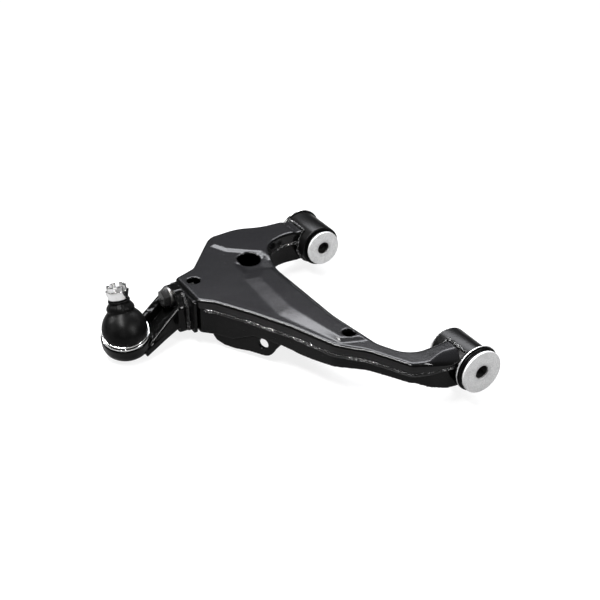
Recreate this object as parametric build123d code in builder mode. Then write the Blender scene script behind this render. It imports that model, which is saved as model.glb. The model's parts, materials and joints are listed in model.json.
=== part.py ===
from build123d import *
from math import asin, degrees
import os

os.makedirs("parts", exist_ok=True)

# Front lower control arm of a car, in millimetres.
# The origin is the centre of the rear bush's bore. +X runs forward along the
# pivot axis, +Y outboard to the ball joint and +Z up.

# ---- bushes and their tubes ----
# Heights count outwards from the bush's centre, so the flange is at the outer end.
bush_spacing = 326.0
bore_radius = 8.1
core_radius = 11.2
running_gap = 0.05
disc_thickness = 3.0
outer_disc_radius = 25.0
flange_thickness = 1.5
tube_wall = 2.6
sleeve_wall = 1.8
disc_gap = 0.3
bushes = {
    "rear": {
        "side": -1,
        "centre": 0.0,
        "half": 34.0,
        "tube_radius": 23.0,
        "tube_ends": (-26.5, 23.5),
        "flange_radius": 27.2,
        "inner_disc_radius": 19.6,
        "strip": (-21.5, 13.0),
    },
    "front": {
        "side": 1,
        "centre": bush_spacing,
        "half": 35.0,
        "tube_radius": 26.0,
        "tube_ends": (-27.3, 25.0),
        "flange_radius": 28.4,
        "inner_disc_radius": 22.4,
        "strip": (312.0, 348.0),
    },
}

# ---- pressed shells ----
sheet = 3.0
plate_top = 20.0
spine_top = 22.6
skirt_bottom = 8.0
lap = 5.0
top_fillet = 4.0
box_end = 212.0

# ---- ball joint ----
ball_centre = Vector(246.9, 291.9, -19.7)
housing_axis = Vector(-0.24, 0.14, 0.96).normalized()
stud_axis = Vector(0.232, 0.023, 0.968).normalized()
ball_radius = 13.5
race_radius = 17.4
housing_radius = 28.8
housing_top = 6.5
housing_bottom = -18.0
boot_foot = 9.5
boot_neck = 48.4
nut_bottom = 49.0
nut_flats = 24.0
stud_end = 57.8
thread_radius = 7.95

# ---- forging, its bolt and the link bracket ----
flange_face = 216.0
forging_flange = 11.0
bolt_x = 266.5
bolt_z = 6.0
bolt_radius = 6.0
bolt_flats = 19.0
spot_face_radius = 12.4
link_hole_radius = 6.5
link_plate = 5.0


def profile_plane(origin, radial, axial):
    """Plane whose X is a radius and whose Y is the axis of a turned piece."""
    return Plane(origin=origin, x_dir=radial, z_dir=radial.cross(axial))


def turned(plane, outline, rounding=0.0):
    """Solid of revolution from (radius, height) points about the plane's Y axis."""
    with BuildPart() as piece:
        with BuildSketch(plane) as profile:
            with BuildLine():
                Polyline(*outline, close=True)
            make_face()
            if rounding > 0:
                fillet(profile.vertices(), radius=rounding)
        revolve(axis=Axis(plane.origin, plane.y_dir))
    return piece.part


def finish(part, name):
    part.label = name
    export_step(part, f"parts/{name}.step")


# =====================================================================
# Bushes, pressed into their tubes with the flange outwards
# =====================================================================
for name, bush in bushes.items():
    plane = profile_plane(Vector(bush["centre"], 0, 0), Vector(0, 1, 0), Vector(bush["side"], 0, 0))
    tube_radius = bush["tube_radius"]
    tube_bore = tube_radius - tube_wall
    tube_inner_end, tube_outer_end = bush["tube_ends"]
    sleeve_bore = tube_bore - sleeve_wall
    flange_front = tube_outer_end + flange_thickness
    disc_seat = bush["half"] - disc_thickness
    rubber_bore = core_radius + running_gap

    tube_outline = [
        (tube_bore, tube_inner_end),
        (tube_radius, tube_inner_end),
        (tube_radius, tube_outer_end),
        (tube_bore, tube_outer_end),
    ]
    finish(turned(plane, tube_outline, rounding=0.6), f"{name}_bush_tube")

    sleeve_outline = [
        (sleeve_bore, tube_inner_end + 1),
        (tube_bore, tube_inner_end + 1),
        (tube_bore, tube_outer_end),
        (bush["flange_radius"], tube_outer_end),
        (bush["flange_radius"], flange_front),
        (sleeve_bore, flange_front),
    ]
    finish(turned(plane, sleeve_outline), f"{name}_bush_outer_sleeve")

    # Rubber: bore, inner bulge, body inside the sleeve, grooved bumper outside the flange.
    bumper_radius = bush["flange_radius"] - 2.2
    rubber_outline = [
        (rubber_bore, -disc_seat + disc_gap),
        (sleeve_bore - 1.6, -disc_seat + disc_gap),
        (sleeve_bore - 0.6, tube_inner_end - 1.5),
        (sleeve_bore, tube_inner_end + 1),
        (sleeve_bore, flange_front),
        (bumper_radius, flange_front),
        (bumper_radius - 0.4, flange_front + 2.2),
        (bumper_radius - 1.8, flange_front + 3.2),
        (bumper_radius - 0.8, flange_front + 4.4),
        (bumper_radius - 1.6, disc_seat - disc_gap),
        (rubber_bore, disc_seat - disc_gap),
    ]
    finish(turned(plane, rubber_outline), f"{name}_bush_rubber")

    core_outline = [
        (bore_radius, -disc_seat),
        (core_radius, -disc_seat),
        (core_radius, disc_seat),
        (bore_radius, disc_seat),
    ]
    finish(turned(plane, core_outline), f"{name}_bush_inner_sleeve")

    for which, radius, start in (
        ("outer", outer_disc_radius, disc_seat),
        ("inner", bush["inner_disc_radius"], -bush["half"]),
    ):
        disc_outline = [
            (bore_radius, start),
            (radius - 0.6, start),
            (radius, start + 0.6),
            (radius, start + disc_thickness - 0.6),
            (radius - 0.6, start + disc_thickness),
            (bore_radius, start + disc_thickness),
        ]
        finish(turned(plane, disc_outline), f"{name}_bush_{which}_disc")

# =====================================================================
# Pressed shells
# =====================================================================
# Plan corners with their radii, anticlockwise from the rear tube's inboard side.
rear_strip = bushes["rear"]["strip"]
front_strip = bushes["front"]["strip"]
plan = [
    (rear_strip[1], 4, 0),
    (10, 64, 28),
    (45, 82, 40),
    (118, 92, 200),
    (244, 95, 60),
    (300, 80, 40),
    (front_strip[0], 48, 40),
    (front_strip[0], 4, 0),
    (front_strip[1], 4, 0),
    (349, 60, 60),
    (360, 92, 50),
    (355, 134, 14),
    (295, 183, 20),
    (283, box_end, 5),
    (222, box_end, 5),
    (209, 198, 12),
    (168, 173, 60),
    (120, 148, 60),
    (64, 126, 30),
    (38, 101, 40),
    (-10, 75, 12),
    (-17, 54, 30),
    (rear_strip[0], 4, 0),
]
plan_points = [(x, y) for x, y, _ in plan]
plan_radii = [radius for _, _, radius in plan]


def plan_sketch(height, inset):
    """The arm's plan at a height, drawn in by an inset."""
    with BuildSketch(Plane.XY.offset(height)) as outline:
        with BuildLine():
            FilletPolyline(*plan_points, radius=plan_radii, close=True)
        make_face()
        if inset > 0:
            offset(amount=-inset, kind=Kind.INTERSECTION)
    return outline.sketch


def tube_space(margin):
    """What the two bush tubes take away from the shells."""
    with BuildPart() as space:
        for bush in bushes.values():
            with BuildSketch(Plane.YZ.offset(bush["centre"] - 60)):
                Circle(bush["tube_radius"] + margin)
            extrude(amount=120)
    return space.part


tubes = tube_space(0)

# Space of the bolt that holds the forging, along Y.
bolt_plane = Plane(origin=(bolt_x, 0, bolt_z), x_dir=(-1, 0, 0), z_dir=(0, 1, 0))
with BuildPart() as bolt_space:
    with BuildSketch(bolt_plane.offset(box_end - 20)):
        Circle(bolt_radius)
    extrude(amount=40)

# Spine pressed up along the inboard edge: a lower and an upper outline, lofted.
spine_foot = [(62, 117), (145, 151), (239, 146), (263, 116), (250, 101), (118, 97), (52, 88)]
spine_crest = [(70, 114), (156, 128), (231, 126), (243, 112), (240, 103), (118, 99), (62, 92)]
holes = [(265.4, 196.0, 7.9), (281.9, 113.7, 14.0), (74.3, 100.0, 7.7)]

with BuildPart() as upper_shell:
    add(plan_sketch(skirt_bottom, 0))
    extrude(amount=plate_top - skirt_bottom)
    fillet(upper_shell.faces().sort_by(Axis.Z)[-1].edges(), radius=top_fillet)
    add(plan_sketch(skirt_bottom, sheet))
    extrude(amount=plate_top - sheet - skirt_bottom, mode=Mode.SUBTRACT)
    with BuildSketch(Plane.XY.offset(plate_top - 0.5)):
        Polygon(*spine_foot, align=None)
    with BuildSketch(Plane.XY.offset(spine_top)):
        Polygon(*spine_crest, align=None)
    loft()
    for x, y, radius in holes:
        with Locations((x, y, spine_top)):
            Hole(radius, depth=3 * sheet)
    add(tubes, mode=Mode.SUBTRACT)
    add(bolt_space.part, mode=Mode.SUBTRACT)
finish(upper_shell.part, "upper_shell")

# Underside of the box: depth along the rear wall, and depth from the pivot outwards.
wall_start = Vector(222, box_end, 0)
wall_direction = Vector(-0.86, -0.51, 0).normalized()
wall_plane = Plane(origin=wall_start, x_dir=wall_direction, z_dir=wall_direction.cross(Vector(0, 0, 1)))
wall_bottom = [
    (-200, -26),
    (40, -26),
    (70, -12.6),
    (110, -12),
    (130, -14.5),
    (150, -14),
    (182, -10.5),
    (240, -7),
    (270, -6),
    (284, -14),
    (297, -22),
    (340, -22),
]
cross_bottom = [(-20, -21), (100, -22), (190, -26), (230, -26)]


def bottom_region(points, lift):
    """Everything above a bottom line raised by a lift."""
    ceiling = 40.0
    Polyline(
        (points[0][0], ceiling),
        *[(along, depth + lift) for along, depth in points],
        (points[-1][0], ceiling),
        close=True,
    )


def lower_form(inset, lift, top):
    """The plan drawn down to the box's underside."""
    reach = 500.0
    with BuildPart() as form:
        add(plan_sketch(-40, inset))
        extrude(amount=40 + top)
        with BuildSketch(wall_plane):
            with BuildLine():
                bottom_region(wall_bottom, lift)
            make_face()
        extrude(amount=reach, both=True, mode=Mode.INTERSECT)
        with BuildSketch(Plane.YZ):
            with BuildLine():
                bottom_region(cross_bottom, lift)
            make_face()
        extrude(amount=reach, both=True, mode=Mode.INTERSECT)
    return form.part


lower_top = skirt_bottom + lap
lower_outside = lower_form(sheet, 0, lower_top)
lower_inside = lower_form(2 * sheet, sheet, lower_top + 1)

with BuildPart() as lower_shell:
    add(lower_outside)
    add(lower_inside, mode=Mode.SUBTRACT)
    add(tubes, mode=Mode.SUBTRACT)
    add(bolt_space.part, mode=Mode.SUBTRACT)
finish(lower_shell.part, "lower_shell")

# Weld bead in the step between skirt and lower wall.
bead = 3.0
with BuildPart() as seam_weld:
    add(plan_sketch(skirt_bottom - bead, 0.4))
    extrude(amount=bead)
    chamfer(seam_weld.faces().sort_by(Axis.Z)[0].edges(), length=1.8)
    add(plan_sketch(skirt_bottom - bead - 1, sheet))
    extrude(amount=bead + 2, mode=Mode.SUBTRACT)
    add(tube_space(1.5), mode=Mode.SUBTRACT)
    add(bolt_space.part, mode=Mode.SUBTRACT)
finish(seam_weld.part, "seam_weld")

# Saddle welds between the shells and each tube: two arcs and the line along the top.
weld_radius = 2.2
arc_start = -65.0
for name, bush in bushes.items():
    seat_radius = bush["tube_radius"] + 0.3
    top_angle = degrees(asin(plate_top / bush["tube_radius"]))
    low_edge, high_edge = bush["strip"]
    with BuildPart() as tube_weld:
        with BuildSketch(Plane.XY.rotated((arc_start, 0, 0))):
            with Locations((low_edge + 0.4, seat_radius), (high_edge - 0.4, seat_radius)):
                Circle(weld_radius)
        revolve(axis=Axis.X, revolution_arc=top_angle - arc_start)
        with BuildSketch(Plane.YZ.offset(low_edge)):
            with Locations(Vector(seat_radius + 0.6, 0).rotate(Axis.Z, top_angle)):
                Circle(weld_radius)
        extrude(amount=high_edge - low_edge)
        add(tubes, mode=Mode.SUBTRACT)
        add(upper_shell.part, mode=Mode.SUBTRACT)
        add(lower_shell.part, mode=Mode.SUBTRACT)
        add(seam_weld.part, mode=Mode.SUBTRACT)
    finish(tube_weld.part, f"{name}_tube_weld")


# Plate that closes the box's outboard end, stepped so that it meets both shells.
def across(y):
    """Plane at a distance outboard; local X is X and local Y is Z."""
    return Plane.XZ.offset(-y)


with BuildPart() as box_end_plate:
    with BuildSketch(across(box_end)):
        with Locations((252.5, -4.5)):
            RectangleRounded(59, 43, 5)
    extrude(amount=box_end - flange_face)
    with BuildSketch(across(box_end)):
        with Locations((252.5, -9.5)):
            RectangleRounded(50, 28, 3)
    extrude(amount=sheet)
    add(bolt_space.part, mode=Mode.SUBTRACT)
finish(box_end_plate.part, "box_end_plate")

# =====================================================================
# Link bracket under the rear wall
# =====================================================================
bracket_face = -10.7
lug_centre = (81, -20)
lug_radius = 15.5
bracket_edge = [(13, -29), (18, -34.6), (28, -38), (42, -38.5), (62, -35.8)]

with BuildPart() as link_bracket:
    with BuildSketch(wall_plane.offset(bracket_face - link_plate)):
        with BuildLine():
            Polyline((13, -8), *bracket_edge, (81, -35.5), (91, -31), (106, -12), (106, -4), close=True)
        make_face()
        with Locations(lug_centre):
            Circle(lug_radius)
            Circle(link_hole_radius, mode=Mode.SUBTRACT)
    extrude(amount=link_plate)
    add(lower_outside, mode=Mode.SUBTRACT)
finish(link_bracket.part, "link_bracket")

cup_depth = 22.0
cup_wall = 3.5
with BuildPart() as link_bracket_cup:
    with BuildSketch(wall_plane.offset(bracket_face - link_plate)) as cup_outline:
        with BuildLine():
            Polyline((13, -16), *bracket_edge, (62, -16), close=True)
        make_face()
    extrude(amount=-cup_depth)
    with BuildSketch(wall_plane.offset(bracket_face - link_plate)):
        add(cup_outline.sketch_local)
        offset(amount=-cup_wall, kind=Kind.INTERSECTION, mode=Mode.REPLACE)
    extrude(amount=-cup_depth + cup_wall, mode=Mode.SUBTRACT)
    add(lower_outside, mode=Mode.SUBTRACT)
finish(link_bracket_cup.part, "link_bracket_cup")

# =====================================================================
# Ball joint: forging, bolt and what the housing holds
# =====================================================================
housing_radial = Vector(0, 1, 0).cross(housing_axis).normalized()
housing_plane = profile_plane(ball_centre, housing_radial, housing_axis)
cavity_radius = race_radius + running_gap
cover_radius = 18.8
cover_seat = -13.3
cover_rim = -16.2
lip_radius = 17.4
cavity_outline = [
    (0, -30),
    (lip_radius, -30),
    (lip_radius, cover_rim),
    (cover_radius, cover_rim),
    (cover_radius, cover_seat),
    (cavity_radius, cover_seat),
    (cavity_radius, 5),
    (12.8, 5),
    (13.4, housing_top + 1),
    (0, housing_top + 1),
]
housing_outline = [
    (0, housing_top),
    (27.6, housing_top),
    (housing_radius, housing_top - 1.5),
    (housing_radius, -5),
    (27.2, -10),
    (22.6, -15.2),
    (20.6, housing_bottom),
    (0, housing_bottom),
]
housing = turned(housing_plane, housing_outline)
housing_cavity = turned(housing_plane, cavity_outline)

flange_outline = [(238, -31), (298, -31), (298, -2), (285, 11), (273, 19), (254, 19), (238, 3)]
flange_corners = [8, 8, 6, 7, 6, 9, 6]
# Web and ribs of the neck: each is (x low, x high, z low, z high) at the flange,
# then the same at the housing, and the distance outboard where it ends.
neck_members = [
    ((243, 296, -21, -10), (222, 268, -38, -27), 277),
    ((242, 251, -21, 9), (225, 235, -38, -26), 274),
    ((285, 296, -21, 4), (256, 266, -36, -7), 266),
]

with BuildPart() as ball_joint_forging:
    with BuildSketch(across(flange_face)):
        with BuildLine():
            FilletPolyline(*flange_outline, radius=flange_corners, close=True)
        make_face()
    extrude(amount=-forging_flange)
    for at_flange, at_housing, reach in neck_members:
        for y, (x_low, x_high, z_low, z_high) in ((flange_face + 4, at_flange), (reach, at_housing)):
            with BuildSketch(across(y)):
                with Locations(((x_low + x_high) / 2, (z_low + z_high) / 2)):
                    RectangleRounded(x_high - x_low, z_high - z_low, 3)
        loft()
    add(bolt_space.part, mode=Mode.SUBTRACT)
    with BuildSketch(bolt_plane.offset(flange_face + forging_flange)):
        Circle(spot_face_radius)
    extrude(amount=30, mode=Mode.SUBTRACT)
    add(housing)
    add(housing_cavity, mode=Mode.SUBTRACT)
finish(ball_joint_forging.part, "ball_joint_forging")

# Weld round the flange's edge, on the end plate.
with BuildPart() as forging_weld:
    with BuildSketch(across(flange_face)) as flange_edge:
        with BuildLine():
            FilletPolyline(*flange_outline, radius=flange_corners, close=True)
        make_face()
        offset(amount=4)
    extrude(amount=-4)
    chamfer(forging_weld.faces().sort_by(Axis.Y)[-1].edges(), length=2.5)
    with BuildSketch(across(flange_face)):
        with BuildLine():
            FilletPolyline(*flange_outline, radius=flange_corners, close=True)
        make_face()
    extrude(amount=-4, mode=Mode.SUBTRACT)
    with BuildSketch(across(flange_face)):
        with Locations((252.5, -4.5)):
            RectangleRounded(59, 43, 5)
    extrude(amount=-5, mode=Mode.INTERSECT)
finish(forging_weld.part, "forging_weld")

# Bolt with its washer outboard and a welded nut inside the box.
washer_face = flange_face + forging_flange
washer_thickness = 3.0
head_height = 8.0
nut_height = 10.0
nut_seat = box_end - 2 * sheet

with BuildPart() as forging_bolt:
    with BuildSketch(bolt_plane.offset(nut_seat - nut_height - 2)):
        Circle(bolt_radius)
    extrude(amount=washer_face + washer_thickness - nut_seat + nut_height + 2)
    chamfer(forging_bolt.faces().sort_by(Axis.Y)[0].edges(), length=1)
    with BuildSketch(bolt_plane.offset(washer_face + washer_thickness)):
        RegularPolygon(bolt_flats / 2, 6, major_radius=False, rotation=30)
    extrude(amount=head_height)
    chamfer(forging_bolt.faces().sort_by(Axis.Y)[-1].edges(), length=1)
finish(forging_bolt.part, "forging_bolt")

with BuildPart() as forging_bolt_washer:
    with BuildSketch(bolt_plane.offset(washer_face)):
        Circle(12)
        Circle(bolt_radius, mode=Mode.SUBTRACT)
    extrude(amount=washer_thickness)
    chamfer(forging_bolt_washer.faces().sort_by(Axis.Y)[-1].edges().sort_by(SortBy.LENGTH)[-1], length=0.5)
finish(forging_bolt_washer.part, "forging_bolt_washer")

with BuildPart() as forging_weld_nut:
    with BuildSketch(bolt_plane.offset(nut_seat)):
        RegularPolygon(bolt_flats / 2, 6, major_radius=False, rotation=30)
        Circle(bolt_radius, mode=Mode.SUBTRACT)
    extrude(amount=-nut_height)
finish(forging_weld_nut.part, "forging_weld_nut")

# Bearing race with its spherical seat.
with BuildPart() as ball_race:
    add(turned(housing_plane, [(10, -10.4), (race_radius, -10.4), (race_radius, 4.9), (10, 4.9)]))
    with Locations(ball_centre):
        Sphere(ball_radius + running_gap, mode=Mode.SUBTRACT)
finish(ball_race.part, "ball_race")

washer_outline = [(10, -12.7), (10, -10.9), (16.8, -11.4), (16.8, -13.2)]
finish(turned(housing_plane, washer_outline), "preload_washer")

cover_outline = [
    (0, -14.6),
    (8, -14.6),
    (12, cover_seat),
    (cover_radius, cover_seat),
    (cover_radius, cover_rim),
    (12, cover_rim),
    (8, -17.4),
    (0, -17.4),
]
finish(turned(housing_plane, cover_outline), "housing_cover")

# Ball stud: ball, neck, taper and thread about its own axis.
stud_radial = stud_axis.cross(Vector(0, 1, 0)).normalized()
stud_plane = profile_plane(ball_centre, stud_radial, stud_axis)
stud_outline = [
    (0, 6),
    (7.2, 9),
    (7.2, 15),
    (9.6, 18.5),
    (9.6, 21),
    (8.6, 40),
    (thread_radius, 41),
    (thread_radius, stud_end - 1),
    (thread_radius - 1, stud_end),
    (0, stud_end),
]
pin_hole_radius = 1.7
pin_hole_height = 54.0
with BuildPart() as ball_stud:
    with Locations(ball_centre):
        Sphere(ball_radius)
    add(turned(stud_plane, stud_outline))
    with BuildSketch(Plane(origin=ball_centre + stud_axis * pin_hole_height, x_dir=stud_axis, z_dir=stud_radial)):
        Circle(pin_hole_radius)
    extrude(amount=12, both=True, mode=Mode.SUBTRACT)
finish(ball_stud.part, "ball_stud")

# Castle nut: hexagon, round crown and six slots, one over each flat.
nut_flat_direction = Vector(-0.82, 0.43, 0.19)
nut_x = nut_flat_direction.cross(stud_axis).normalized()
nut_plane = Plane(origin=ball_centre + stud_axis * nut_bottom, x_dir=nut_x, z_dir=stud_axis)
hexagon_height = 9.5
crown_height = 5.5
crown_radius = 11.4
slot_width = 4.2
with BuildPart() as castle_nut:
    with BuildSketch(nut_plane):
        RegularPolygon(nut_flats / 2, 6, major_radius=False)
    extrude(amount=hexagon_height)
    with BuildSketch(nut_plane):
        Circle(nut_flats / 2 - 0.6)
    extrude(amount=hexagon_height + 4, taper=-14, mode=Mode.INTERSECT)
    with BuildSketch(nut_plane.offset(hexagon_height)):
        Circle(crown_radius)
    extrude(amount=crown_height)
    with BuildSketch(nut_plane):
        Circle(thread_radius + running_gap)
    extrude(amount=hexagon_height + crown_height, mode=Mode.SUBTRACT)
    with BuildSketch(nut_plane.offset(hexagon_height + 0.5)):
        with PolarLocations(nut_flats / 2, 6, start_angle=30):
            Rectangle(nut_flats, slot_width)
        Circle(thread_radius + running_gap, mode=Mode.SUBTRACT)
    extrude(amount=crown_height, mode=Mode.SUBTRACT)
finish(castle_nut.part, "castle_nut")

# Dust boot: from a round foot on the housing to a neck on the leaning stud.
# Each station is (height, outer radius, share of the way to the stud's axis).
boot_stations = [
    (boot_foot, 25.2, 0.0),
    (12, 25.2, 0.0),
    (19, 26.4, 0.15),
    (27, 24.0, 0.4),
    (35, 17.4, 0.8),
    (40.5, 12.9, 1.0),
    (44, 11.4, 1.0),
    (boot_neck, 10.8, 1.0),
]
boot_wall = 1.8


def boot_form(thickness, overshoot):
    """The boot's outer skin drawn in by a thickness, as one smooth solid."""
    last = len(boot_stations) - 1
    with BuildPart() as form:
        for index, (height, radius, share) in enumerate(boot_stations):
            axis = (housing_axis * (1 - share) + stud_axis * share).normalized()
            if index == 0:
                height -= overshoot
            if index == last:
                height += overshoot
            with BuildSketch(Plane(origin=ball_centre + axis * height, x_dir=stud_radial, z_dir=axis)):
                Circle(radius - thickness)
        loft()
    return form.part


boot_skin = boot_form(0, 0)
boot_inside = boot_form(boot_wall, 0.5)
with BuildPart() as dust_boot:
    add(boot_skin)
    add(boot_inside, mode=Mode.SUBTRACT)
finish(dust_boot.part, "dust_boot")


def ring_about(plane, height, radius, wire, name):
    """Round wire ring about the plane's Y axis."""
    with BuildPart() as ring:
        with BuildSketch(plane):
            with Locations((radius, height)):
                Circle(wire)
        revolve(axis=Axis(plane.origin, plane.y_dir))
    finish(ring.part, name)


seat_outline = [(24.6, housing_top), (27.4, housing_top), (27.4, 9.2), (24.6, 9.2)]
finish(turned(housing_plane, seat_outline, rounding=0.6), "boot_seat_ring")
ring_about(housing_plane, 12.2, 26.5, 0.75, "boot_base_ring")
ring_about(stud_plane, 46.0, 12.0, 0.8, "boot_neck_ring")
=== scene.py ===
import bpy, bmesh, json, math
from mathutils import Matrix, Vector, noise


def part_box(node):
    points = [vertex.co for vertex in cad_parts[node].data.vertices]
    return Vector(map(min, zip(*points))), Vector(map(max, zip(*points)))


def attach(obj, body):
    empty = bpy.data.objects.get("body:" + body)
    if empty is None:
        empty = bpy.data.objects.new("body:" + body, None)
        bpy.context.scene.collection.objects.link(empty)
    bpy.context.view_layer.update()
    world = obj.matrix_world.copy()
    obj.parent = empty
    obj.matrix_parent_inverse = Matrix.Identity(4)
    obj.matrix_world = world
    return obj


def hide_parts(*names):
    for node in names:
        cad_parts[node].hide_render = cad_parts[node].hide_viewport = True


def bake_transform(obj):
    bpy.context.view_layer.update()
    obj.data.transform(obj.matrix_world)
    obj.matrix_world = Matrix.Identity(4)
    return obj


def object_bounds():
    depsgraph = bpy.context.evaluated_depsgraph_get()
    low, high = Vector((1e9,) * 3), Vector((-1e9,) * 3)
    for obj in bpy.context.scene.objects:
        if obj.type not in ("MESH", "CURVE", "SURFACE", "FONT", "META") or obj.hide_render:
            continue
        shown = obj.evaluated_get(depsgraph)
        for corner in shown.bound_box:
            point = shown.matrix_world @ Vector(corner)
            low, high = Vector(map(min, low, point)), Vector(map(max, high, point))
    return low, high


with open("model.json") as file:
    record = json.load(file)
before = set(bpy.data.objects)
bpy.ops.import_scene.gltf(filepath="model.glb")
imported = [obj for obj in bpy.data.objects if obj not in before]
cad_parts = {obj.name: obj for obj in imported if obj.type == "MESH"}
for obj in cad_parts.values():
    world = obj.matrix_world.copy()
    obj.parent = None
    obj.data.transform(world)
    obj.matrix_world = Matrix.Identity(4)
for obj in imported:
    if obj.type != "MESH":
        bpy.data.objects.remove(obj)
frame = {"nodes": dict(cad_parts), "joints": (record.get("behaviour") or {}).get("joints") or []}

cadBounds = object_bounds()
cadNodes = frame["nodes"]
scene = bpy.context.scene
mm = 0.001
upward = Vector((0, 0, 1))
jointByName = {joint["name"]: joint for joint in frame["joints"]}
print("frame loaded:", len(cadNodes), "nodes")


# a socket that can be added to and multiplied, and the node trees it lives in
class Wire:
    def __init__(self, graph, socket):
        self.graph = graph
        self.socket = socket

    def maths(self, operation, first, second):
        return self.graph.node("Math", {"operation": operation}, {0: first, 1: second})

    def __add__(self, other):
        return self.maths("ADD", self, other)

    def __radd__(self, other):
        return self.maths("ADD", other, self)

    def __sub__(self, other):
        return self.maths("SUBTRACT", self, other)

    def __rsub__(self, other):
        return self.maths("SUBTRACT", other, self)

    def __mul__(self, other):
        return self.maths("MULTIPLY", self, other)

    def __rmul__(self, other):
        return self.maths("MULTIPLY", other, self)

    def __pow__(self, other):
        return self.maths("POWER", self, other)

    def ramp(self, low, high):   # 0 below low, 1 above high
        settings = {"interpolation_type": "SMOOTHSTEP"}
        return self.graph.node("MapRange", settings, {"Value": self, "From Min": low, "From Max": high})


class Graph:
    def __init__(self, tree, shader):
        self.tree = tree
        self.shader = tree.nodes[shader]

    def node(self, kind, settings=None, inputs=None, output=0):
        made = self.tree.nodes.new("ShaderNode" + kind)
        for key, value in (settings or {}).items():
            setattr(made, key, value)
        for key, value in (inputs or {}).items():
            if isinstance(value, Wire):
                self.tree.links.new(value.socket, made.inputs[key])
            else:
                made.inputs[key].default_value = value
        return Wire(self, made.outputs[output])

    def link(self, wire, socketName):
        self.tree.links.new(wire.socket, self.shader.inputs[socketName])

    def mixColour(self, share, first, second):
        return self.node("Mix", {"data_type": "RGBA"}, {0: share, 6: first, 7: second}, output=2)


class Paint(Graph):
    def __init__(self, name, **constants):
        self.material = bpy.data.materials.new(name)
        self.material.use_nodes = True
        super().__init__(self.material.node_tree, "Principled BSDF")
        for key, value in constants.items():   # the same all over the surface
            self.shader.inputs[key.replace("_", " ")].default_value = value
        self.place = self.node("TexCoord", output="Object")

    def mottle(self, scale, detail=3.0, roughness=0.5, stretch=(1, 1, 1)):
        place = self.node("Mapping", None, {"Vector": self.place, "Scale": stretch})
        inputs = {"Vector": place, "Scale": scale, "Detail": detail, "Roughness": roughness}
        return self.node("TexNoise", None, inputs)

    def radiusAboutX(self):   # distance from the bolt axis of the bushes, in metres
        across = self.node("SeparateXYZ", None, {0: self.place}, output="Y")
        height = self.node("SeparateXYZ", None, {0: self.place}, output="Z")
        return (across * across + height * height) ** 0.5

    def facing(self, axis):   # how far the surface looks along an axis
        normal = self.node("TexCoord", output="Normal")
        return self.node("VectorMath", {"operation": "DOT_PRODUCT"}, {0: normal, 1: axis}, output="Value")

    def edges(self, low, high):   # 1 on outer edges of a finely meshed piece
        return self.node("NewGeometry", output="Pointiness").ramp(low, high)

    def bump(self, height, distance, strength=1.0):
        inputs = {"Height": height, "Distance": distance, "Strength": strength}
        normal = self.node("Bump", None, inputs)
        self.link(normal, "Normal")


def grey(level, tint=(1, 1, 1)):
    return (level * tint[0], level * tint[1], level * tint[2], 1)


def shellPaint():
    look = {"top": 0.009, "side": 0.003, "topRough": 0.225, "sideRough": 0.10}
    paint = Paint("shellPaint", Specular_IOR_Level=0.27)
    top = paint.facing((0, 0, 1)).ramp(0.72, 0.97)
    cloud = paint.mottle(14, 4)
    dust = paint.mottle(420, 2, 0.6).ramp(0.60, 0.78)
    # outer edges lightened in patches: painted edge highlights, broken up like worn paint
    wearAndSheen = paint.edges(0.53, 0.60) * paint.mottle(160).ramp(0.45, 0.65)
    # upward faces get a lighter, bluer base than the sides: a painted sheen on one paint lit from above
    base = paint.mixColour(top, grey(look["side"]), grey(look["top"], (0.97, 0.97, 1.06)))
    base = paint.mixColour(dust * top * 0.18, base, grey(0.05))
    base = paint.mixColour(cloud.ramp(0.42, 0.70) * top * 0.40, base, grey(0.006))
    base = paint.mixColour(wearAndSheen * 0.20, base, grey(0.10))
    paint.link(base, "Base Color")
    satin = look["topRough"] + cloud * 0.08 - 0.04 + dust * 0.05
    gloss = look["sideRough"] + paint.mottle(60) * 0.06
    paint.link(gloss + (satin - gloss) * top, "Roughness")
    grain = paint.mottle(900, 2) * 0.6 + paint.mottle(190, 3)
    paint.bump(grain, 0.00012, 0.55)
    return paint.material


def glossPaint(name, lumps, lumpScale, darkness=0.003, roughness=0.07):
    paint = Paint(name, Specular_IOR_Level=0.15)
    cloud = paint.mottle(45, 4)
    speck = paint.mottle(700, 2, 0.6).ramp(0.64, 0.76)
    # outer edges lightened in patches: painted edge highlights, broken up like worn paint
    wearAndSheen = paint.edges(0.535, 0.60) * paint.mottle(210).ramp(0.48, 0.66)
    base = paint.mixColour(speck * 0.30, grey(darkness), grey(0.03))
    base = paint.mixColour(wearAndSheen * 0.22, base, grey(0.09))
    paint.link(base, "Base Color")
    paint.link(roughness + cloud * 0.12 + speck * 0.20, "Roughness")
    orangePeel = paint.mottle(330, 2)
    casting = paint.mottle(lumpScale, 4, 0.55)
    paint.bump(orangePeel * 0.10 + casting * lumps, 0.0006, 0.6)
    return paint.material


def sleevePaint(name, flangeRadius):
    # the tubes' paint, with patches of bright steel along the flange's rim as a painted highlight
    paint = Paint(name, Specular_IOR_Level=0.15)
    highlightRim = paint.radiusAboutX().ramp(flangeRadius - 0.0006, flangeRadius - 0.0003)
    bright = highlightRim * paint.mottle(60, 3).ramp(0.30, 0.50)
    paint.link(paint.mixColour(bright, grey(0.003), grey(0.85)), "Base Color")
    paint.link(bright * 0.7, "Metallic")
    paint.link(0.22 + paint.mottle(45, 4) * 0.12, "Roughness")
    paint.bump(paint.mottle(330, 2) * 0.1 + paint.mottle(60, 4, 0.55) * 0.2, 0.0006, 0.6)
    return paint.material


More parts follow.
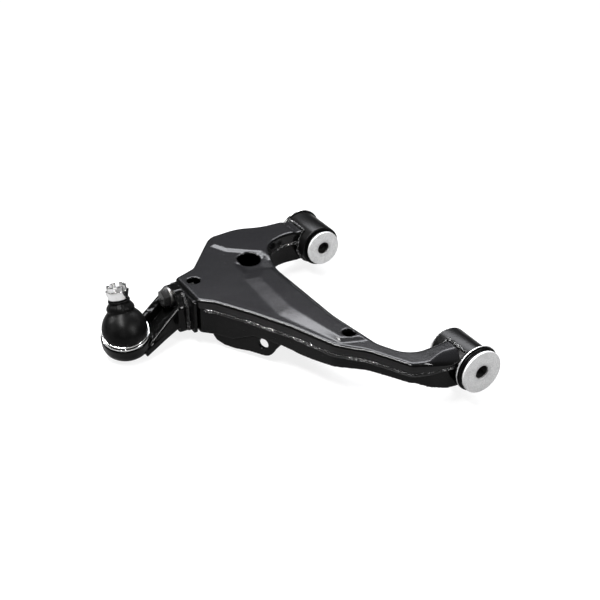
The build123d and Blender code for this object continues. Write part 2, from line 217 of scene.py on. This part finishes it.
def weldPaint():
    paint = Paint("weldPaint", Specular_IOR_Level=0.5)
    spatter = paint.mottle(520, 3, 0.65)
    # bright metal flecks on the spatter: painted glints where the weld sparkles
    paintedGlint = spatter.ramp(0.56, 0.62) * paint.mottle(34, 2).ramp(0.49, 0.58)
    paint.link(paint.mixColour(paintedGlint, grey(0.003), grey(0.75)), "Base Color")
    paint.link(paintedGlint * 0.9, "Metallic")
    paint.link(0.10 + paint.mottle(300) * 0.16, "Roughness")
    paint.bump(spatter + paint.mottle(1400, 2) * 0.35, 0.0011, 0.9)
    return paint.material


def mouldedRubber():
    paint = Paint("mouldedRubber", Specular_IOR_Level=0.08)
    bloom = paint.mottle(70, 4)
    paint.link(paint.mixColour(bloom.ramp(0.45, 0.75), grey(0.003), grey(0.007)), "Base Color")
    paint.link(0.26 + bloom * 0.14, "Roughness")
    paint.bump(paint.mottle(1300, 3) * 0.5 + bloom * 0.5, 0.00018, 0.5)
    return paint.material


def platedDisc(name):
    # bright matt face, stained and scratched, with a turning mark each half millimetre
    paint = Paint(name, Metallic=0.35)
    radius = paint.radiusAboutX()
    rings = paint.node("Math", {"operation": "SINE"}, {0: radius * 12500})
    stain = paint.mottle(110, 5, 0.6)
    scratch = paint.mottle(500, 2, 0.5, (1, 0.12, 1)).ramp(0.66, 0.74)
    innerDirt = 1 - radius.ramp(0.0095, 0.0125)
    grain = paint.mottle(620, 3, 0.6).ramp(0.40, 0.62)
    base = paint.mixColour(stain.ramp(0.40, 0.72) * 0.55, grey(0.80), grey(0.60))
    base = paint.mixColour(grain * 0.45, base, grey(0.48))
    base = paint.mixColour(scratch * 0.35, base, grey(0.42))
    base = paint.mixColour(innerDirt * 0.30, base, grey(0.30))
    paint.link(base, "Base Color")
    paint.link(0.46 + stain * 0.16, "Roughness")
    paint.bump(rings * 0.25 + paint.mottle(900, 3) * 0.7, 0.00009, 0.55)
    return paint.material


def zincPlate():
    paint = Paint("zincPlate", Metallic=1.0)
    bloom = paint.mottle(160, 4, 0.6)
    speck = paint.mottle(900, 2).ramp(0.62, 0.74)
    base = paint.mixColour(bloom.ramp(0.45, 0.72), grey(0.90), grey(0.76, (1, 0.99, 0.95)))
    paint.link(paint.mixColour(speck * 0.3, base, grey(0.35)), "Base Color")
    paint.link(0.12 + bloom * 0.12 + speck * 0.12, "Roughness")
    paint.bump(paint.mottle(1100, 3), 0.00006, 0.5)
    return paint.material


def bareSteel(name, level, rough):
    paint = Paint(name, Metallic=1.0)
    bloom = paint.mottle(220, 4)
    lines = paint.mottle(900, 3, 0.5, (0.08, 1, 1))
    straw = grey(level * 0.6, (1, 0.93, 0.86))
    paint.link(paint.mixColour(bloom.ramp(0.4, 0.7), grey(level), straw), "Base Color")
    paint.link(rough + lines * 0.2, "Roughness")
    paint.bump(lines, 0.00008, 0.5)
    return paint.material


def racePlastic():
    paint = Paint("racePlastic", Specular_IOR_Level=0.5)
    bloom = paint.mottle(120, 4)
    clean = grey(0.68, (1, 0.98, 0.90))
    aged = grey(0.56, (1, 0.97, 0.86))
    paint.link(paint.mixColour(bloom.ramp(0.4, 0.7), clean, aged), "Base Color")
    paint.link(0.38 + bloom * 0.15, "Roughness")
    paint.bump(bloom + paint.mottle(1200), 0.0001, 0.4)
    return paint.material


looks = {
    "shell": shellPaint(),
    "wall": glossPaint("wallPaint", 0.30, 38),
    "tube": glossPaint("tubePaint", 0.22, 60, roughness=0.24),
    "forged": glossPaint("forgedPaint", 0.80, 85, 0.002),
    "bolt": glossPaint("boltPaint", 0.25, 90, 0.014, 0.20),
    "weld": weldPaint(),
    "rubber": mouldedRubber(),
    "zinc": zincPlate(),
    "stud": bareSteel("studSteel", 0.45, 0.22),
    "sleeve": bareSteel("sleeveSteel", 0.30, 0.30),
    "race": racePlastic(),
}
print("materials made:", len(looks))


# new meshes and reworked copies of the CAD ones
def newPiece(name, bm, look, body, slotName, replaced=(), sharpAngle=38):
    mesh = bpy.data.meshes.new(name)
    bmesh.ops.recalc_face_normals(bm, faces=bm.faces)
    bm.to_mesh(mesh)
    bm.free()
    piece = bpy.data.objects.new(name, mesh)
    scene.collection.objects.link(piece)
    return dressed(piece, look, body, slotName, replaced, sharpAngle)


def dressed(piece, look, body, slotName, replaced=(), sharpAngle=38):
    piece.data.materials.clear()
    piece.data.materials.append(look)
    for face in piece.data.polygons:
        face.use_smooth = True
    piece.data.set_sharp_from_angle(angle=math.radians(sharpAngle))
    if replaced:
        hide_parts(*replaced)
    if body:
        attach(piece, body)
    return piece


def cadCopy(name, nodeNames):
    bm = bmesh.new()
    for nodeName in nodeNames:
        bm.from_mesh(cadNodes[nodeName].data)
    bmesh.ops.remove_doubles(bm, verts=bm.verts, dist=2e-6)
    mesh = bpy.data.meshes.new(name)
    bm.to_mesh(mesh)
    bm.free()
    piece = bpy.data.objects.new(name, mesh)
    scene.collection.objects.link(piece)
    return piece


def withModifiers(piece, *wanted):
    for kind, settings in wanted:
        modifier = piece.modifiers.new(kind, kind)
        for key, value in settings.items():
            setattr(modifier, key, value)
    graph = bpy.context.evaluated_depsgraph_get()
    mesh = bpy.data.meshes.new_from_object(piece.evaluated_get(graph))
    piece.modifiers.clear()
    piece.data = mesh
    return piece


gridSkew = Matrix.Rotation(math.radians(34), 4, Vector((1, 2, 3)))   # keeps the remesh from stepping


def softened(name, nodeNames, voxel, rounds, shape=None):
    # the CAD form remeshed on a skewed grid and relaxed, so that pressed and forged edges are round
    piece = cadCopy(name, nodeNames)
    piece.data.transform(gridSkew)
    withModifiers(
        piece,
        ("REMESH", {"mode": "VOXEL", "voxel_size": voxel, "adaptivity": 0}),
        ("SMOOTH", {"factor": 0.5, "iterations": rounds}),
    )
    piece.data.transform(gridSkew.inverted())
    if shape:
        normals = [vertex.normal.copy() for vertex in piece.data.vertices]
        for vertex, normal in zip(piece.data.vertices, normals):
            vertex.co = shape(vertex.co.copy(), normal)
    return piece


def bevelled(name, nodeNames, width):
    bevel = {"width": width, "segments": 3, "limit_method": "ANGLE", "angle_limit": math.radians(30)}
    return withModifiers(
        cadCopy(name, nodeNames),
        ("BEVEL", bevel),
        ("WEIGHTED_NORMAL", {"keep_sharp": True}),
    )


def roundedLoop(points, radius, steps=4):
    # closed (radius, height) outline with its corners turned into short arcs
    out = []
    count = len(points)
    for index in range(count):
        before = Vector(points[index - 1])
        here = Vector(points[index])
        after = Vector(points[(index + 1) % count])
        reach = min(radius, (before - here).length * 0.45, (after - here).length * 0.45)
        start = here + (before - here).normalized() * reach
        end = here + (after - here).normalized() * reach
        for step in range(steps + 1):
            share = step / steps
            arriving = start * (1 - share) + here * share
            leaving = here * (1 - share) + end * share
            out.append(arriving * (1 - share) + leaving * share)
    return out


def joinRings(bm, near, far):
    for k in range(len(near)):
        following = (k + 1) % len(near)
        bm.faces.new((near[k], near[following], far[following], far[k]))


def turnedRings(bm, outline, place, segments=144):
    # place(radius, height, angle) gives a point; the last ring joins the first again
    angles = [math.tau * k / segments for k in range(segments)]
    rings = []
    for radius, height in outline:
        rings.append([bm.verts.new(place(radius, height, angle)) for angle in angles])
    for near, far in zip(rings, rings[1:] + rings[:1]):
        joinRings(bm, near, far)


def alongX(centreX, side):
    def place(radius, height, angle):
        return Vector((centreX + side * height, radius * math.cos(angle), radius * math.sin(angle)))
    return place


def aboutAxis(origin, axis):
    across = axis.orthogonal().normalized()
    beside = axis.cross(across)

    def place(radius, height, angle):
        return origin + axis * height + (across * math.cos(angle) + beside * math.sin(angle)) * radius
    return place


# upper shell: satin plate with its pressed relief, rolled edge and skirt
def segmentDistance(point, start, end):
    along = end - start
    share = max(0.0, min(1.0, (point - start).dot(along) / along.length_squared))
    return (point - start - along * share).length


def insideDistance(point, corners):
    # distance to a plan outline, positive inside
    nearest = min(segmentDistance(point, corners[k - 1], corners[k]) for k in range(len(corners)))
    inside = False
    for k in range(len(corners)):
        a, b = corners[k - 1], corners[k]
        if (a.y > point.y) != (b.y > point.y):
            if point.x < a.x + (point.y - a.y) / (b.y - a.y) * (b.x - a.x):
                inside = not inside
    return nearest if inside else -nearest


def smoothStep(value, low, high):
    share = max(0.0, min(1.0, (value - low) / (high - low)))
    return share * share * (3 - 2 * share)


planCorners = [   # the arm's plan in mm: x, y and corner radius, anticlockwise
    (13, 4, 0), (10, 64, 28), (45, 82, 40), (118, 92, 200), (244, 95, 60),
    (300, 80, 40), (312, 48, 40), (312, 4, 0), (348, 4, 0), (349, 60, 60),
    (360, 92, 50), (355, 134, 14), (295, 183, 20), (283, 212, 5), (222, 212, 5),
    (209, 198, 12), (168, 173, 60), (120, 148, 60), (64, 126, 30), (38, 101, 40),
    (-10, 75, 12), (-17, 54, 30), (-21.5, 4, 0),
]


def filletedOutline(corners, steps=8):
    out = []
    for k, (x, y, radius) in enumerate(corners):
        here = Vector((x, y, 0))
        before = (Vector((*corners[k - 1][:2], 0)) - here).normalized()
        after = (Vector((*corners[(k + 1) % len(corners)][:2], 0)) - here).normalized()
        if radius == 0:
            out.append(here * mm)
            continue
        half = before.angle(after) / 2
        centre = here + (before + after).normalized() * radius / math.sin(half)
        start = here + before * radius / math.tan(half) - centre
        end = here + after * radius / math.tan(half) - centre
        for step in range(steps + 1):
            spoke = start * (1 - step / steps) + end * (step / steps)
            out.append((centre + spoke.normalized() * radius) * mm)
    return out


planEdge = filletedOutline(planCorners)

relief = {   # plan outlines in mm on the top plate, how far each is raised, and its slope's width
    "frontRise": {
        "outline": [(268, 92), (287, 95), (300, 112), (313, 128), (333, 138),
                    (352, 131), (372, 120), (372, 30), (268, 30)],
        "rise": 1.9, "slope": 9.0},
    "holeDip": {
        "outline": [(253, 131), (276, 131), (284, 114), (276, 99), (251, 103)],
        "rise": -3.0, "slope": 14.0},
}
neckRound = {   # how the rear neck's edge rolls over towards its tube, in mm
    "yTube": 24, "yEnd": 70, "xEnd": 6, "widthAtTube": 17, "widthAtEnd": 1, "drop": 8.0, "curve": 1.3}
plateLevel = 20 * mm
plateSkin = {"starts": 4.5 * mm, "full": 2 * mm}   # depths below the plate between which relief sets in
skirtFoot = 8 * mm
for shape in relief.values():
    shape["corners"] = [Vector(point) * mm for point in shape["outline"]]


def rearEdgeAt(y):
    # x of the plan's rear edge beside the rear tube
    crossings = []
    for a, b in zip(planEdge, planEdge[1:] + planEdge[:1]):
        if (a.y > y) != (b.y > y):
            crossings.append(a.x + (b.x - a.x) * (y - a.y) / (b.y - a.y))
    return min(crossings) if crossings else 0.0


def reliefAt(point):
    flat = Vector((point.x, point.y))
    height = 0.0
    for shape in relief.values():
        half = shape["slope"] * mm / 2
        height += shape["rise"] * mm * smoothStep(insideDistance(flat, shape["corners"]), -half, half)
    return height


def neckFallAt(point):
    along = smoothStep(point.y, neckRound["yTube"] * mm, neckRound["yEnd"] * mm)
    width = (neckRound["widthAtTube"] * (1 - along) + neckRound["widthAtEnd"] * along) * mm
    inset = max(0.0, point.x - rearEdgeAt(point.y))
    fall = max(0.0, 1 - inset / width) ** neckRound["curve"] * (1 - along) * neckRound["drop"] * mm
    return fall * max(0.0, (point.z - skirtFoot) / (plateLevel - skirtFoot))


def pressedTop(point, normal):
    top = smoothStep(point.z, plateLevel - plateSkin["starts"], plateLevel - plateSkin["full"])
    if top > 0:
        point.z += reliefAt(point) * top
    if point.x < neckRound["xEnd"] * mm and point.y < neckRound["yEnd"] * mm:
        point.z -= neckFallAt(point)
    ripple = noise.noise(point * 26) * 0.25 + noise.noise(point * 75) * 0.06
    return point + normal * ripple * mm


upperShell = softened("upperShell", ["upper_shell"], 1.0 * mm, 7, pressedTop)
dressed(upperShell, looks["shell"], "arm", "shell_paint", ["upper_shell"])


# lower shell, end plate and link bracket: glossy pressings
def handPressed(amount):
    def shape(point, normal):
        wave = noise.noise(point * 32) * 0.30 + noise.noise(point * 95) * 0.09
        return point + normal * wave * amount * mm
    return shape


pressings = {
    "lowerShell": {"node": "lower_shell", "voxel": 1.0, "rounds": 18, "wave": 1.0},
    "boxEndPlate": {"node": "box_end_plate", "voxel": 0.8, "rounds": 4, "wave": 0.6},
    "linkBracket": {"node": "link_bracket", "voxel": 0.6, "rounds": 5, "wave": 0.4},
    "linkBracketCup": {"node": "link_bracket_cup", "voxel": 0.6, "rounds": 9, "wave": 0.5},
}
for name, setting in pressings.items():
    wavy = handPressed(setting["wave"])
    piece = softened(name, [setting["node"]], setting["voxel"] * mm, setting["rounds"], wavy)
    dressed(piece, looks["wall"], "arm", "gloss_paint", [setting["node"]])
print("pressings made")


# welds: a rippled bead along the seam, lumpy saddles on the tubes
def evenly(chain, spacing):
    out = [chain[0].copy()]
    left = spacing
    for a, b in zip(chain, chain[1:]):
        span = (b - a).length
        while span >= left and span > 0:
            a = a + (b - a) * (left / span)
            out.append(a.copy())
            span = (b - a).length
            left = spacing
        left -= span
    return out


def eased(points, rounds):
    # takes the corners off a run, as a torch does
    for _ in range(rounds):
        middles = [(a + b * 2 + c) / 4 for a, b, c in zip(points, points[1:], points[2:])]
        points = [points[0]] + middles + [points[-1]]
    return points


def weldBead(bm, chain, setting):
    points = eased(evenly(chain, setting["spacing"] * mm), 6)
    rings = []
    segments = 18
    travelled = 0.0
    for index, point in enumerate(points):
        ahead = points[min(index + 1, len(points) - 1)] - points[max(index - 1, 0)]
        forward = ahead.normalized()
        outward = forward.cross(upward).normalized()
        travelled += setting["spacing"]
        fade = min(1.0, index / 6, (len(points) - 1 - index) / 6)
        wander = noise.noise(Vector((travelled * 0.045, setting["seed"], 0)))
        girth = setting["radius"] * (0.35 + 0.65 * fade) * (1 + 0.20 * wander)
        ring = []
        for k in range(segments):
            angle = math.tau * k / segments
            crescent = travelled / setting["pitch"] + 0.30 * math.cos(angle - setting["tilt"])
            crescent += 0.35 * noise.noise(Vector((travelled * 0.16, 3.1, setting["seed"])))
            ripple = 1 - (crescent % 1.0) ** 1.6
            size = girth * (0.94 + setting["ripple"] * ripple)
            size += 0.16 * noise.noise(point * 420 + Vector((0, 0, k * 0.2)))
            offset = outward * math.cos(angle) + upward * math.sin(angle)
            ring.append(bm.verts.new(point + offset * size * mm))
        rings.append(ring)
    for near, far in zip(rings, rings[1:]):
        joinRings(bm, near, far)
    bm.faces.new(rings[0])
    bm.faces.new(list(reversed(rings[-1])))


seam = {   # mm; inward is from the plan's edge, drop from the skirt's foot
    "radius": 2.5, "spacing": 0.45, "pitch": 2.4, "ripple": 0.20, "tilt": -0.7, "seed": 1.7,
    "inward": 1.9, "drop": 1.7, "clearOfTube": 0.5, "clearOfEndPlate": 1.5, "fewestPoints": 60,
}
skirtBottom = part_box("upper_shell")[0].z
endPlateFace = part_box("box_end_plate")[0].y
tubeReach = {
    name: (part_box(name)[0].x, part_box(name)[1].x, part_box(name)[1].z + seam["clearOfTube"] * mm)
    for name in ("rear_bush_tube", "front_bush_tube")
}


def weldable(point):
    onTube = any(low < point.x < high and abs(point.y) < reach for low, high, reach in tubeReach.values())
    return not onTube and point.y < endPlateFace - seam["clearOfEndPlate"] * mm


def seamRuns():
    # the plan outline stepped in under the skirt, broken at the tubes and the end plate
    edge = evenly(planEdge + planEdge[:1], seam["spacing"] * mm)
    runs = []
    run = []
    for index, point in enumerate(edge):
        ahead = (edge[(index + 1) % len(edge)] - edge[index - 1]).normalized()
        inner = upward.cross(ahead) * seam["inward"] * mm
        if weldable(point):
            run.append(point + inner + upward * (skirtBottom - seam["drop"] * mm))
        elif run:
            runs.append(run)
            run = []
    return runs + ([run] if run else [])


bm = bmesh.new()
for run in seamRuns():
    if len(run) > seam["fewestPoints"]:
        weldBead(bm, run, seam)
newPiece("seamWeld", bm, looks["weld"], "arm", "gloss_paint", ["seam_weld"], 80)


def lumpy(amount, seed):
    def shape(point, normal):
        lump = noise.noise(point * 330 + Vector((seed, 0, 0))) + 0.5 * noise.noise(point * 800)
        return point + normal * lump * amount * mm
    return shape


saddles = {
    "rearTubeWeld": {"node": "rear_tube_weld", "lump": 0.55, "seed": 4.0},
    "frontTubeWeld": {"node": "front_tube_weld", "lump": 0.55, "seed": 9.0},
    "forgingWeld": {"node": "forging_weld", "lump": 0.75, "seed": 14.0},
}
for name, setting in saddles.items():
    piece = softened(name, [setting["node"]], 0.55 * mm, 3, lumpy(setting["lump"], setting["seed"]))
    dressed(piece, looks["weld"], "arm", "gloss_paint", [setting["node"]], 60)
print("welds made")


# forging with its bolt
def forgedSkin(point, normal):
    wave = noise.noise(point * 60) * 0.25 + noise.noise(point * 170) * 0.12
    return point + normal * wave * mm


forging = softened("ballJointForging", ["ball_joint_forging"], 0.8 * mm, 7, forgedSkin)
dressed(forging, looks["forged"], "arm", "forged_paint", ["ball_joint_forging"])
machined = {
    "forgingBolt": {
        "node": "forging_bolt", "bevel": 0.5, "look": "bolt", "slot": "forged_paint", "body": "arm"},
    "forgingBoltWasher": {
        "node": "forging_bolt_washer", "bevel": 0.3, "look": "sleeve", "slot": "forged_paint", "body": "arm"},
    "housingCover": {
        "node": "housing_cover", "bevel": 0.3, "look": "forged", "slot": "forged_paint", "body": "arm"},
    "castleNut": {
        "node": "castle_nut", "bevel": 0.45, "look": "zinc", "slot": "zinc", "body": "stud"},
}
for name, setting in machined.items():
    piece = bevelled(name, [setting["node"]], setting["bevel"] * mm)
    dressed(piece, looks[setting["look"]], setting["body"], setting["slot"], [setting["node"]])
print("forging made")


# bushes: tubes, flanged sleeves, grooved rubbers and bright discs
bushSizes = {   # mm
    "tubeWall": 2.6, "sleeveWall": 1.8, "coreRadius": 11.25, "boreRadius": 8.1,
    "tubeRounding": 0.9, "sleeveRounding": 0.55, "rubberRounding": 0.5, "discChamfer": 0.9,
    "grooveDepth": 1.9,
}


def bushPiece(name, node, outline, rounding, look, body, slotName, centreX, side):
    bm = bmesh.new()
    loop = roundedLoop([Vector(point) * mm for point in outline], rounding * mm)
    turnedRings(bm, loop, alongX(centreX, side))
    return newPiece(name, bm, look, body, slotName, [node], 50)


def bandOutline(innerRadius, outerRadius, low, high):
    return [(innerRadius, low), (outerRadius, low), (outerRadius, high), (innerRadius, high)]


def makeBush(end, side):
    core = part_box(f"{end}_bush_inner_sleeve")
    centreX = (core[0].x + core[1].x) / 2

    def span(part):   # heights outwards from the bush's middle, and the radius, in mm
        low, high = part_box(f"{end}_bush_{part}")
        heights = sorted((side * (low.x - centreX) / mm, side * (high.x - centreX) / mm))
        return heights[0], heights[1], (high.z - low.z) / 2 / mm

    def add(part, node, outline, rounding, look, body="arm", slotName="gloss_paint"):
        node = f"{end}_bush_{node}"
        bushPiece(f"{end}{part}", node, outline, rounding, look, body, slotName, centreX, side)

    inner, outer, tubeRadius = span("tube")
    bore = tubeRadius - bushSizes["tubeWall"]
    tube = bandOutline(bore, tubeRadius, inner, outer)
    add("Tube", "tube", tube, bushSizes["tubeRounding"], looks["tube"])

    sleeveInner, front, flangeRadius = span("outer_sleeve")
    liner = bore - bushSizes["sleeveWall"]
    sleeve = [
        (liner, sleeveInner), (bore, sleeveInner), (bore, outer),
        (flangeRadius, outer), (flangeRadius, front), (liner, front),
    ]
    look = sleevePaint(f"{end}SleevePaint", flangeRadius * mm)
    add("Sleeve", "outer_sleeve", sleeve, bushSizes["sleeveRounding"], look)

    low, high, bumper = span("rubber")
    core = bushSizes["coreRadius"]
    groove = bumper - bushSizes["grooveDepth"]
    gap = high - front
    rubber = [   # a lip inside the liner, then a grooved bumper between the flange and the disc
        (core, low), (liner - 1.6, low), (liner - 0.4, low + 2.0), (liner - 0.3, inner + 2),
        (liner, inner + 3), (liner, front), (bumper, front), (bumper - 0.1, front + 0.34 * gap),
        (groove, front + 0.46 * gap), (groove, front + 0.58 * gap),
        (bumper - 0.5, front + 0.70 * gap), (bumper - 1.2, high), (core, high),
    ]
    add("Rubber", "rubber", rubber, bushSizes["rubberRounding"], looks["rubber"], slotName="rubber")

    for which in ("outer", "inner"):
        low, high, radius = span(f"{which}_disc")
        disc = bandOutline(bushSizes["boreRadius"], radius, low, high)
        look = platedDisc(f"{end}{which}Plate")
        add(f"{which.title()}Disc", f"{which}_disc", disc, bushSizes["discChamfer"], look,
            f"{end}_bush_core", "plated_disc")


makeBush("rear", -1)
makeBush("front", 1)
print("bushes made")


# boot: ribbed collar over a wide dome, bending from the housing to the stud
ballCentre = Vector(jointByName["stud_spin"]["pos_m"])
housingAxis = Vector(jointByName["ball_precession"]["axis"]).normalized()
studAxis = Vector(jointByName["stud_spin"]["axis"]).normalized()
boot = {   # skin is height and radius, in mm from the ball's centre
    "skin": [
        (9.6, 24.2), (10.2, 25.2), (11.4, 25.3), (12.9, 25.5), (14.5, 25.9), (17, 25.9), (20, 25.4),
        (23, 24.2), (26, 22.6), (28.8, 20.6), (31.2, 18.4), (33.0, 16.7), (34.0, 16.0), (34.9, 15.6),
        (35.8, 16.0), (37.4, 16.1), (39.4, 15.4), (41.2, 14.2), (43.0, 12.7), (44.4, 11.8),
        (45.2, 11.3), (46.0, 11.15), (46.8, 11.4), (47.6, 12.0), (48.2, 11.9), (48.4, 11.2),
    ],
    "thickness": 1.7, "clearOfStud": 9.1,
    "leanFrom": 12.0, "leanTo": 38.0, "segments": 176,
    "ribs": 22, "ribDepth": 0.30, "ribZone": (35.5, 37.5, 42.5, 44.5),   # heights: starts, full, full, ends
    "sag": 0.22, "sagZone": (14, 22, 28, 34),
    "bendShare": 0.25, "bendFrom": 0.0155, "bendTo": 0.0275,   # metres from the ball's centre
}


def inZone(height, zone):
    starts, full, fades, ends = (level * mm for level in zone)
    return smoothStep(height, starts, full) * (1 - smoothStep(height, fades, ends))


def bootPlace(radius, height, angle):
    share = smoothStep(height, boot["leanFrom"] * mm, boot["leanTo"] * mm)
    axis = (housingAxis * (1 - share) + studAxis * share).normalized()
    across = (studAxis - housingAxis * studAxis.dot(housingAxis)).normalized()
    across = (across - axis * across.dot(axis)).normalized()
    beside = axis.cross(across)
    rib = abs(math.cos(angle * boot["ribs"] / 2)) ** 0.7 - 0.5
    radius += boot["ribDepth"] * mm * inZone(height, boot["ribZone"]) * rib
    radius += boot["sag"] * mm * inZone(height, boot["sagZone"]) * math.sin(angle * 3 + height * 220)
    return ballCentre + axis * height + (across * math.cos(angle) + beside * math.sin(angle)) * radius


def smoothOutline(points, steps):
    # a curve through the points, four at a time
    out = []
    for k in range(len(points) - 1):
        p0, p1, p2, p3 = (points[max(0, min(len(points) - 1, k + d))] for d in (-1, 0, 1, 2))
        bend = 2 * p0 - 5 * p1 + 4 * p2 - p3
        twist = 3 * p1 - p0 - 3 * p2 + p3
        for step in range(steps):
            t = step / steps
            out.append(0.5 * (2 * p1 + (p2 - p0) * t + bend * t * t + twist * t ** 3))
    out.append(points[-1])
    return out


outerSkin = smoothOutline([Vector((radius, height)) * mm for height, radius in boot["skin"]], 4)
innerSkin = []
for point in outerSkin:
    radius = max(point.x - boot["thickness"] * mm, boot["clearOfStud"] * mm)
    innerSkin.append(Vector((radius, point.y)))
bm = bmesh.new()
turnedRings(bm, outerSkin + innerSkin[::-1], bootPlace, boot["segments"])
dustBoot = newPiece("dustBoot", bm, looks["rubber"], None, "rubber", ["dust_boot"], 70)
bendAxis = (housingAxis * (1 - boot["bendShare"]) + studAxis * boot["bendShare"]).normalized()
ballCentre + bendAxis * boot["bendFrom"]
ballCentre + bendAxis * boot["bendTo"]
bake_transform(dustBoot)

rings = {   # radii and heights from the ball's centre, in mm
    "bootSeatRing": {
        "node": "boot_seat_ring", "axis": housingAxis, "radii": (24.6, 27.5), "heights": (6.5, 9.0),
        "rounding": 1.1, "look": "zinc", "slot": "zinc", "body": "arm"},
    "bootBaseRing": {
        "node": "boot_base_ring", "axis": housingAxis, "radii": (25.75, 27.25), "heights": (11.45, 12.95),
        "rounding": 0.75, "look": "zinc", "slot": "zinc", "body": "arm"},
    "bootNeckRing": {
        "node": "boot_neck_ring", "axis": studAxis, "radii": (11.2, 12.8), "heights": (45.2, 46.8),
        "rounding": 0.75, "look": "rubber", "slot": "rubber", "body": "boot_collar"},
}
for name, setting in rings.items():
    bm = bmesh.new()
    section = bandOutline(*setting["radii"], *setting["heights"])
    loop = roundedLoop([Vector(point) * mm for point in section], setting["rounding"] * mm, 6)
    turnedRings(bm, loop, aboutAxis(ballCentre, setting["axis"]), boot["segments"])
    newPiece(name, bm, looks[setting["look"]], setting["body"], setting["slot"], [setting["node"]], 60)
print("boot made")


# nodes that stay as they are
kept = {
    "ball_race": "race", "ball_stud": "stud", "preload_washer": "sleeve", "forging_weld_nut": "forged",
    "rear_bush_inner_sleeve": "sleeve", "front_bush_inner_sleeve": "sleeve",
}
for nodeName, look in kept.items():
    mesh = cadNodes[nodeName].data
    mesh.materials.clear()
    mesh.materials.append(looks[look])
print("kept nodes painted:", len(kept))


# floor, lights and camera
studio = {
    "floorHalf": 9.0, "floorLevel": 0.20, "floorGlow": 0.84, "floorBounce": 0.20,
    "sky": 0.028, "horizon": 0.006, "backdrop": 0.92,
    "lights": {   # place from the arm's middle in metres, width and height, radiance
        "frontStrip": {"at": (0.10, 0.42, 1.15), "size": (1.1, 0.11), "radiance": 80},
        "leftStrip": {"at": (0.75, 0.95, 1.05), "size": (0.12, 0.65), "radiance": 48},
        "rightStrip": {"at": (-1.05, -0.48, 0.95), "size": (0.13, 0.65), "radiance": 44},
        "farSoftbox": {
            "at": (0.89, -0.52, 1.36), "size": (1.5, 0.60), "radiance": 14, "tint": (0.95, 0.96, 1.0)},
    },
}
low, high = Vector(cadBounds[0]), Vector(cadBounds[1])
middle = (low + high) / 2
bm = bmesh.new()
bmesh.ops.create_grid(bm, x_segments=6, y_segments=6, size=studio["floorHalf"])
floorMesh = bpy.data.meshes.new("paleFloor")
bm.to_mesh(floorMesh)
bm.free()
floor = bpy.data.objects.new("paleFloor", floorMesh)
scene.collection.objects.link(floor)
floor.location = (middle.x, middle.y, low.z - 0.2 * mm)
floorPaint = Paint("floorPaint", Specular_IOR_Level=0.0, Emission_Strength=studio["floorGlow"])
# the floor shines less on the arm than it looks
seen = floorPaint.node("LightPath", output="Is Camera Ray")
floorPaint.link(floorPaint.mixColour(seen, grey(studio["floorBounce"]), grey(1.0)), "Emission Color")
wearAndSheen = grey(studio["floorLevel"] - 0.01)
floorPaint.link(floorPaint.mixColour(floorPaint.mottle(3), grey(studio["floorLevel"]), wearAndSheen), "Base Color")
floorPaint.link(0.85 + floorPaint.mottle(20) * 0.1, "Roughness")
floor.data.materials.append(floorPaint.material)

world = bpy.data.worlds.new("studio")
world.use_nodes = True
scene.world = world
sky = Graph(world.node_tree, "Background")
sky.shader.inputs["Color"].default_value = grey(1.0)
direction = sky.node("TexCoord", output="Generated")
rise = sky.node("SeparateXYZ", None, {0: direction}, output="Z").ramp(0.05, 0.95)
lit = rise * (studio["sky"] - studio["horizon"]) + studio["horizon"]
seen = sky.node("LightPath", output="Is Camera Ray")
sky.link(lit * (1 - seen) + seen * studio["backdrop"], "Strength")

for name, setting in studio["lights"].items():
    light = bpy.data.lights.new(name, "AREA")
    light.shape = "RECTANGLE"
    light.size, light.size_y = setting["size"]
    light.color = setting.get("tint", (1, 1, 1))
    light.energy = setting["radiance"] * math.pi * light.size * light.size_y
    lamp = bpy.data.objects.new(name, light)
    lamp.location = middle + Vector(setting["at"])
    lamp.rotation_euler = (middle - lamp.location).to_track_quat("-Z", "Y").to_euler()
    scene.collection.objects.link(lamp)

view = {
    "location": (-0.76439, 0.65662, 0.65621), "target": (0.19319, 0.09235, 0),
    "roll": 0.48, "lens": 65.46, "sensor": 36, "farthest": 60,
}
cameraData = bpy.data.cameras.new("camera")
cameraData.sensor_width = view["sensor"]
cameraData.lens = view["lens"]
camera = bpy.data.objects.new("camera", cameraData)
scene.collection.objects.link(camera)
scene.camera = camera
camera.location = Vector(view["location"])
turn = (Vector(view["target"]) - camera.location).to_track_quat("-Z", "Y")
camera.rotation_euler = (turn.to_matrix() @ Matrix.Rotation(math.radians(view["roll"]), 3, "Z")).to_euler()
cameraData.clip_end = view["farthest"]
scene.view_settings.view_transform = "Standard"
print("studio made")
